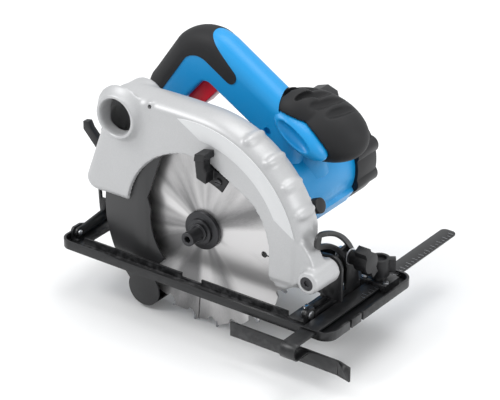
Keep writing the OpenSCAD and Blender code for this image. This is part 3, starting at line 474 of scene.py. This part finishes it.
casting = dict(
    rimRadius=117.0, rimStep=5.0, windowRadius=76.0, wall=3.4, middle=4, faceY=-15.0, farY=22.0, voxel=1.35,
    port=(-81.0, 142.0), portRadius=21.0, portBore=17.0, portTaper=4.5, mouth=-24.0,
    boss=(124.0, 43.0), bossRadius=10.5, bossNear=-22.0, bossFar=13.0, bossBore=4.3, wellBore=6.5, wellEnd=-18.4,
    nearCrown=[(-2, 0.5), (-7, 1.8), (-10.5, 3.4), (-13, 5.4), (-14.4, 7.4), (-15, 9.4)],
    farCrown=[(10, 0.8), (16, 3.2), (20, 6), (22, 9)],
    screws=[((112, 63), -11), ((-49, 158), -14)], screwBoss=(4.4, 5.6), screwBore=2,
    padTurns=(24.5, 37.5, 50.5, 63.5), padSize=(4.6, 14.5, 5.6), padSink=1.6, padY=2)


def castingOutline(inset=0.0):
    rim = casting["rimRadius"] - inset
    port = casting["port"]
    return (arc(arbor, rim - casting["rimStep"], -12, 4, 4) + arc(arbor, rim, 16, 88, 26)
            + [(-22, arbor[1] + rim + 0.3), (-52, 165 - inset)]
            + arc(port, casting["portRadius"] + 1 - inset, 86, 190, 14)
            + arc((-112, 69), 15 - inset, 178, 270, 8)
            + [(-76, 54 + inset), (-70, 45), (60, 10), (80, 23.5 + inset)])


def windowOutline():
    # the window follows the blade, then runs straight down in front of it
    return (arc(arbor, casting["windowRadius"], 176, 76, 30)
            + [(62, 97), (71, 85), (76, 74), (79.5, 60), (79.5, 22), (79.5, -60), (-75.8, -60)])


def castingPort(bm):
    port, radius, mouth = casting["port"], casting["portRadius"], casting["mouth"]
    rod(bm, port, radius, radius, mouth + 1.5, casting["farY"] + 3)
    rod(bm, port, radius - 1.5, radius, mouth, mouth + 1.5)
    rod(bm, port, radius - 1, radius + 7, casting["faceY"] - 7, casting["faceY"] + 3)  # flare from the face


def castingPivot(bm):
    # pivot boss and its web, which is thinner behind to let the bevel quadrant pass
    rod(bm, casting["boss"], casting["bossRadius"], casting["bossRadius"] + 1,
        casting["bossNear"], casting["bossFar"])
    slab(bm, [(84, 23.6), (96, 23.6), (110, 34), (118, 34), (128, 48), (121, 62), (112, 74), (100, 74), (84, 50)],
         casting["faceY"] + 1.5, 5)
    slab(bm, [(96, 23.6), (110, 34), (118, 34), (126, 46), (118, 53), (106, 60), (96, 50)],
         0, casting["bossFar"] - 1)


def castingSolid(bm):
    crownedSlab(bm, castingOutline(), casting["middle"], near=casting["nearCrown"], far=casting["farCrown"])
    castingPort(bm)
    castingPivot(bm)
    for spot, near in casting["screws"]:
        rod(bm, spot, *casting["screwBoss"], near, 5)


def castingPads(bm):
    # raised pads across the rounded rim
    for turn in casting["padTurns"]:
        x, z = polar(arbor, casting["rimRadius"] - casting["padSink"], turn)
        ball(bm, (x, casting["padY"], z), casting["padSize"], turnY(-turn), 32)


def castingHollow(bm):
    wall = casting["wall"]
    crownedSlab(bm, castingOutline(wall), casting["middle"],
                near=[(-6, 1.6), (-9.5, 4), (casting["faceY"] + wall, 8.5)],
                far=[(12, 2), (casting["farY"] - wall, 7)])


def castingWindow(bm):
    slab(bm, windowOutline(), casting["faceY"] - 12, casting["faceY"] + 6)


def castingFarOpening(bm):
    slab(bm, [(-75, 53), (-36, 30), (70, 20), (80, 23.7), (70, -20), (-80, -20)],
         casting["farY"] - 6, casting["farY"] + 4)


def castingUnderside(bm):
    # the rim is left open where the lower guard passes
    slab(bm, [(-104.5, 68), (-78, 60), (78, 60), (86, 20), (86, -60), (-104.5, -60)],
         casting["faceY"] + 4, casting["farY"] - 3.2)


def castingPortFlare(bm):
    rod(bm, casting["port"], casting["portBore"] + 1.8, casting["portBore"] - 0.5,
        casting["mouth"] - 2, casting["mouth"] + 4)


def castingPortBore(bm):
    rod(bm, casting["port"], casting["portBore"], casting["portBore"] - casting["portTaper"],
        casting["mouth"] - 1, casting["farY"] - 2)


def castingQuadrantRoom(bm):
    # leaves room for the bevel quadrant at the depth setting's upper end
    block(bm, (109.5, 5.5, 58), (130, 40, 97))


def castingPivotBore(bm):
    rod(bm, casting["boss"], casting["bossBore"], casting["bossBore"],
        casting["bossNear"] - 2, casting["bossFar"] + 2)


def castingPivotWell(bm):
    rod(bm, casting["boss"], casting["wellBore"], casting["wellBore"],
        casting["bossNear"] - 2, casting["wellEnd"])


def castingScrewHoles(bm):
    for spot, near in casting["screws"]:
        rod(bm, spot, casting["screwBore"], casting["screwBore"], near - 2, 2)


def buildCasting():
    bm = bmesh.new()
    castingSolid(bm)
    castingPads(bm)
    piece = toObject("guard_casting", bm)
    melt(piece, casting["voxel"], 5)
    cut(piece, castingHollow, castingWindow, castingFarOpening, castingUnderside, castingPortFlare,
        castingPortBore, castingQuadrantRoom)
    melt(piece, casting["voxel"], 2)
    cut(piece, castingPivotBore, castingPivotWell, castingScrewHoles)
    finishPiece(piece, "tool", "casting", finish["castAluminium"], "upper_guard", angle=50)


buildCasting()
print("guard casting built")

label = dict(outer=109.5, outerTurns=(15, 99.5), inner=94.0, innerTurns=(86, 26), thick=0.5, sink=0.6, edge=0.15)


def buildLabel():
    # a blank plate that follows the casting's rim
    bm = bmesh.new()
    points = (arc(arbor, label["outer"], *label["outerTurns"], 40)
              + arc(arbor, label["inner"], *label["innerTurns"], 30))
    slab(bm, points, casting["faceY"] - label["thick"], casting["faceY"] + label["sink"])
    bmesh.ops.bevel(bm, geom=bm.edges[:], affect="EDGES", offset=label["edge"] * mm, segments=2, profile=0.5,
                    material=-1)
    finishPiece(toObject("label_plate", bm), "tool", "label", finish["labelFilm"], "label_panel", angle=40)


buildLabel()
print("label built")

handle = dict(
    middle=69.0, half=17.0, voxel=1.1, legTurn=58.7, gripTurn=136,
    apex=(-41.9, 160.4), apexRadius=45.0, grip=(-84.0, 136.0), gripRadius=24.0,
    heel=(-92.0, 104.0), heelRadius=16.0, leg=(36.0, 138.8), legRadius=23.0,
    crown=[(0.2, 0.2), (0.42, 1.1), (0.62, 2.9), (0.8, 5.8), (0.93, 9.4), (1.0, 13.5)],
    loopFront=(-38, 151.4), loopRear=(-76, 107.6), loopRadius=9, motorRoom=42.0, padStand=0.7,
    screw=(29, 131), lock=(-42, 176), lockWell=5.6, triggerTop=(-33, 0, 165.6), triggerTurn=-46)


def handleOutline():
    leg, grip = handle["legTurn"], handle["gripTurn"]
    return (arc(handle["leg"], handle["legRadius"], -10, leg, 8)
            + arc(handle["apex"], handle["apexRadius"], leg, grip, 20)
            + arc(handle["grip"], handle["gripRadius"], grip, 180, 8)
            + arc(handle["heel"], handle["heelRadius"], 180, 262, 8)
            + [(-66, 82), (-12, 60), (52, 92)])


def handleSolid(bm):
    half, middle = handle["half"], handle["middle"]
    near, far = ([(middle + side * half * t, d) for t, d in handle["crown"]] for side in (-1, 1))
    crownedSlab(bm, handleOutline(), middle, near=near, far=far)


def handleLoop(bm):
    # the opening for the fingers
    points = (arc(handle["loopFront"], handle["loopRadius"], handle["legTurn"], handle["gripTurn"], 8)
              + arc(handle["loopRear"], handle["loopRadius"], handle["gripTurn"], 265, 10)
              + [(-16, 104), (-2, 111), (9, 121), (13, 129), (11, 133)])
    slab(bm, points, handle["middle"] - 30, handle["middle"] + 30)


def motorClearance(bm):
    rod(bm, motorAxis, handle["motorRoom"], handle["motorRoom"], 30, 150)


def buildHandleBody():
    bm = bmesh.new()
    handleSolid(bm)
    body = toObject("handle_body", bm)
    cut(body, handleLoop)
    melt(body, handle["voxel"], 8)
    cut(body, motorClearance)
    return body


def padOutline():
    # the soft skin seen from the side: the whole back of the grip and a tail down the front leg
    return (arc(handle["apex"], 62, 88, 150, 8) + [(-150, 120), (-100, 118), (-92, 132)]
            + arc((-47, 164), 19, handle["gripTurn"], 62, 8) + arc((-11, 172), 6.5, -130, 50, 10)
            + [(-28, 196), (-40, 207)])


def copyOf(piece, name):
    twin = bpy.data.objects.new(name, piece.data.copy())
    bpy.context.scene.collection.objects.link(twin)
    return twin


def buildGripSkin(body):
    # the body's own surface, a little proud of it and kept only inside the pad's outline
    skin = copyOf(body, "grip_skin")
    bm = bmesh.new()
    bm.from_mesh(skin.data)
    bm.normal_update()
    for vert in bm.verts:
        vert.co += vert.normal * handle["padStand"] * mm
    bm.to_mesh(skin.data)
    bm.free()
    bm = bmesh.new()
    slab(bm, padOutline(), 40, 100)
    combine(skin, toObject("padPrism", bm), "INTERSECT")
    finishPiece(skin, "tool", "soft_grip", finish["softGrip"], "grip_overmould", angle=50)


def triggerSlot(bm):
    place = Matrix.Translation([v * mm for v in handle["triggerTop"]])
    block(bm, (-44, 59, -8), (-2, 79, 13), place @ turnY(handle["triggerTurn"]))


def handleScrewWell(bm):
    rod(bm, handle["screw"], 4.2, 3.6, 49, 56)


def lockWell(bm):
    rod(bm, handle["lock"], handle["lockWell"], handle["lockWell"], 74, 90)


def halfOf(piece, name, side):
    twin = copyOf(piece, name)
    bm = bmesh.new()
    bm.from_mesh(twin.data)
    bmesh.ops.bisect_plane(bm, geom=bm.verts[:] + bm.edges[:] + bm.faces[:], clear_inner=True,
                           plane_co=(0, handle["middle"] * mm, 0), plane_no=(0, side, 0))
    rims = [edge for edge in bm.edges if edge.is_boundary]
    bmesh.ops.triangle_fill(bm, edges=rims, use_beauty=True, normal=(0, -side, 0))
    bmesh.ops.recalc_face_normals(bm, faces=bm.faces[:])
    bm.to_mesh(twin.data)
    bm.free()
    return twin


def buildHandle():
    body = buildHandleBody()
    buildGripSkin(body)
    cut(body, triggerSlot, handleScrewWell, lockWell, lambda bm: knobShoulder(bm, 0.5))
    for name, side, node in (("handle_near", -1, "handle_shell_right"), ("handle_far", 1, "handle_shell_left")):
        finishPiece(halfOf(body, name, side), "tool", "blue_plastic", finish["bluePlastic"], node, angle=50)
    bpy.data.objects.remove(body)


knob = dict(
    centre=(60.0, 88.0, 132.5), size=(48.5, 33.0, 28.5), tilt=10.0, voxel=1.0, rounds=5,
    shoulder=(46.0, 74.0, 149.0), shoulderSize=(24, 21, 19),
    grooves=(-22, -8, 6, 20), grooveSize=(5.2, 23, 6.2), grooveTurn=-16, grooveLift=0.6,
    nose=(59.0, 60.0, 134.0), noseSize=(31.5, 14.5, 12.5), noseTilt=32.0, dishSize=(21, 8, 6.5),
    foot=(46, 88), footRadii=(21, 15), footZ=(84, 118), footVoxel=0.9)


def knobShoulder(bm, grow=0.0):
    # the skin also wraps over the foot of the handle
    ball(bm, knob["shoulder"], [v + grow for v in knob["shoulderSize"]])


def knobSolid(bm):
    ball(bm, knob["centre"], knob["size"], turnY(knob["tilt"]), 64)
    knobShoulder(bm)


def knobGrooves(bm):
    # finger grooves that run across the top, towards the motor side
    length, _, height = knob["size"]
    lean = turnY(knob["tilt"])
    turn = lean @ Matrix.Rotation(math.radians(knob["grooveTurn"]), 4, "Z")
    for along in knob["grooves"]:
        rise = math.sqrt(1 - (along / length) ** 2) * height
        spot = Vector(knob["centre"]) + lean @ Vector((along, -4, rise + knob["grooveLift"]))
        ball(bm, spot, knob["grooveSize"], turn, 32)


def knobNose(bm, grow=0.0):
    ball(bm, knob["nose"], [v + grow for v in knob["noseSize"]], turnY(knob["noseTilt"]))


def knobDish(bm):
    x, y, z = knob["nose"]
    ball(bm, (x - 1, y - 13.5, z + 2), knob["dishSize"], turnY(knob["noseTilt"]), 40)


def buildKnob():
    bm = bmesh.new()
    knobSolid(bm)
    skin = toObject("knob_skin", bm)
    cut(skin, knobGrooves, lambda bm: knobNose(bm, 0.6), motorClearance)
    melt(skin, knob["voxel"], knob["rounds"])
    finishPiece(skin, "tool", "soft_grip", finish["softGrip"], "knob_overmould", angle=60)
    bm = bmesh.new()
    rod(bm, knob["foot"], *knob["footRadii"], *knob["footZ"], "Z")
    knobNose(bm)
    core = toObject("knob_base", bm)
    cut(core, knobDish)
    melt(core, knob["footVoxel"], knob["rounds"])
    finishPiece(core, "tool", "blue_plastic", finish["bluePlastic"], "knob_core", angle=60)


buildHandle()
print("handle built")
buildKnob()
print("front knob built")

guardLever = dict(plate=2.2, nub=4.0, footRadii=(72, 57), footTurns=(60, 79), voxel=0.6, rounds=3)


def buildGuardLever():
    low, high = (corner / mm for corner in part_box("guard_lever"))
    (outer, inner), (start, end) = guardLever["footRadii"], guardLever["footTurns"]
    foot = arc(arbor, outer, start, end, 6) + arc(arbor, inner, end, start, 6)
    arm = [(9, 110), (19, 107), (20, 118), (17, 122), (17, 129), (21.5, 131), (21, 137.5), (10, 135), (11, 130),
           (7, 127)]
    bm = bmesh.new()
    slab(bm, foot, high.y - guardLever["plate"], high.y)
    slab(bm, arm, low.y + guardLever["nub"], high.y - 1)
    slab(bm, [(9, 128), (20, 131), (21, 137.5), (10, 135)], low.y, high.y - 4)
    piece = toObject("guard_lever_arm", bm)
    melt(piece, guardLever["voxel"], guardLever["rounds"])
    finishPiece(piece, "guard", "black_steel", finish["blackPlastic"], "guard_lever", angle=50)


buildGuardLever()
print("guard lever built")

guideScale = dict(step=5.0, count=30, start=6, short=3.2, long=5.6, width=0.35, edgeX=141.1, low=6.15, high=6.28)


def buildScale():
    # short and long lines along one edge of the parallel guide, without numbers
    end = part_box("parallel_guide")[1].y / mm
    half = guideScale["width"] / 2
    bm = bmesh.new()
    for i in range(guideScale["count"]):
        y = end - guideScale["start"] - i * guideScale["step"]
        length = guideScale["short"] if i % 2 else guideScale["long"]
        edge = guideScale["edgeX"]
        block(bm, (edge - length, y - half, guideScale["low"]), (edge, y + half, guideScale["high"]))
    finishPiece(toObject("guide_scale", bm), "guide", "zinc", finish["zincPlate"])


buildScale()
print("guide scale built")

studio = dict(floorSize=6.0, floorColour=(0.86, 0.86, 0.86), floorGap=0.0005, air=(0.97, 0.985, 1.0),
              strength=0.85)


def buildStage():
    bm = bmesh.new()
    bmesh.ops.create_grid(bm, x_segments=1, y_segments=1, size=studio["floorSize"])
    bmesh.ops.translate(bm, verts=bm.verts[:], vec=(0, 0, lowest[2] - studio["floorGap"]))
    floor = toObject("floor", bm)
    paper, _, shader = newMaterial("paper")
    shader.inputs["Base Color"].default_value = (*studio["floorColour"], 1)
    shader.inputs["Roughness"].default_value = 0.9
    shader.inputs["Specular IOR Level"].default_value = 0.1
    floor.data.materials.append(paper)
    world = bpy.data.worlds.new("studio")
    bpy.context.scene.world = world
    world.use_nodes = True
    back = world.node_tree.nodes["Background"]
    back.inputs["Color"].default_value = (*studio["air"], 1)
    back.inputs["Strength"].default_value = studio["strength"]


lamps = {
    "keyLight": dict(place=(-0.9, -0.9, 1.5), size=0.9, power=16.0),
    "topLight": dict(place=(0.2, 0.5, 1.7), size=1.2, power=12.0),
    "rimLight": dict(place=(1.4, 0.3, 0.6), size=0.6, power=5.0),
}


def buildLights():
    aim = Vector((0.02, 0.02, 0.08))
    for name, values in lamps.items():
        lamp = bpy.data.lights.new(name, "AREA")
        lamp.shape = "DISK"
        lamp.size = values["size"]
        lamp.energy = values["power"]
        holder = bpy.data.objects.new(name, lamp)
        holder.location = values["place"]
        holder.rotation_euler = (aim - Vector(values["place"])).to_track_quat("-Z", "Y").to_euler()
        bpy.context.scene.collection.objects.link(holder)


view = dict(target=(0.04863, 0.0, 0.09128), distance=2.3224, azimuth=35.8, elevation=27.29, roll=0.33, lens=194.0)


def buildCamera():
    camera = bpy.data.cameras.new("camera")
    camera.lens = view["lens"]
    camera.sensor_width = 36
    camera.clip_end = 20
    holder = bpy.data.objects.new("camera", camera)
    bpy.context.scene.collection.objects.link(holder)
    az, el, roll = (math.radians(view[key]) for key in ("azimuth", "elevation", "roll"))
    back = Vector((math.sin(az) * math.cos(el), -math.cos(az) * math.cos(el), math.sin(el)))
    right = (-back).cross(Vector((0, 0, 1))).normalized()
    up = right.cross(-back)
    right, up = right * math.cos(roll) + up * math.sin(roll), up * math.cos(roll) - right * math.sin(roll)
    place = Vector(view["target"]) + back * view["distance"]
    turn = Matrix((right, up, back)).transposed().to_4x4()
    holder.matrix_world = Matrix.Translation(place) @ turn
    bpy.context.scene.camera = holder


buildStage()
buildLights()
buildCamera()
bpy.context.scene.view_settings.view_transform = "Standard"
print("stage, light and camera ready")
